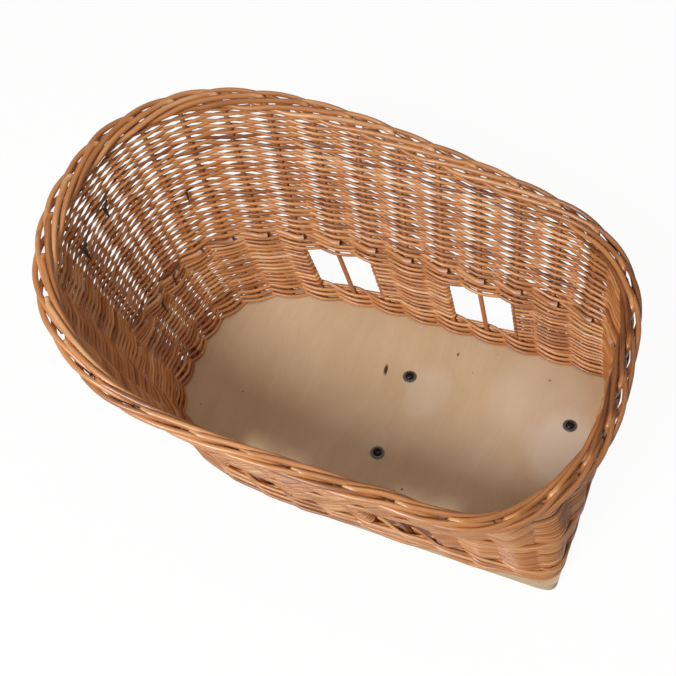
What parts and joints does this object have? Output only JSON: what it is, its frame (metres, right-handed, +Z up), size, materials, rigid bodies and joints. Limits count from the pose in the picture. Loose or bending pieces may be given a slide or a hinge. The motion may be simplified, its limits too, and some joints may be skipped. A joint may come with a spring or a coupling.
{
  "type": "dog bicycle basket",
  "caption": "Open wicker dog basket for a bicycle carrier: high and round at one end, low and square at the other, with side windows, a rolled border and a bolted plywood floor.",
  "frame": {"origin": "middle of the box around the basket, on the underside of the floor board", "axes": "+X along the length to the low square end, +Y to one long side, +Z up"},
  "size_m": [0.578, 0.4424, 0.26],
  "materials": {
    "willow": "satin",
    "willow_border": "satin",
    "stake_willow": "satin",
    "plywood": "matte",
    "black_steel": "satin",
    "zinc_steel": "satin"
  },
  "bodies": {
    "root": {"base_board": "plywood", "bottom_wale": "willow", "back_panel": "willow", "front_panel": "willow", "round_end_panel": "willow", "square_end_panel": "willow", "fitch_band": "willow", "upper_weave": "willow", "border": "willow_border", "stake_01": "stake_willow", "stake_02": "stake_willow", "stake_03": "stake_willow", "stake_04": "stake_willow", "stake_05": "stake_willow", "stake_06": "stake_willow", "stake_07": "stake_willow", "stake_08": "stake_willow", "stake_09": "stake_willow", "stake_10": "stake_willow", "stake_11": "stake_willow", "stake_12": "stake_willow", "stake_13": "stake_willow", "stake_14": "stake_willow", "stake_15": "stake_willow", "stake_16": "stake_willow", "stake_17": "stake_willow", "stake_18": "stake_willow", "stake_19": "stake_willow", "stake_20": "stake_willow", "stake_21": "stake_willow", "stake_22": "stake_willow", "stake_23": "stake_willow", "stake_24": "stake_willow", "stake_25": "stake_willow", "stake_26": "stake_willow", "stake_27": "stake_willow", "stake_28": "stake_willow", "stake_29": "stake_willow", "stake_30": "stake_willow", "stake_31": "stake_willow", "stake_32": "stake_willow", "stake_33": "stake_willow", "stake_34": "stake_willow", "bolt_1": "black_steel", "bolt_2": "black_steel", "bolt_3": "black_steel", "bolt_4": "black_steel", "washer_1": "zinc_steel", "washer_2": "zinc_steel", "washer_3": "zinc_steel", "washer_4": "zinc_steel", "nut_1": "zinc_steel", "nut_2": "zinc_steel", "nut_3": "zinc_steel", "nut_4": "zinc_steel"}
  },
  "joints": []
}
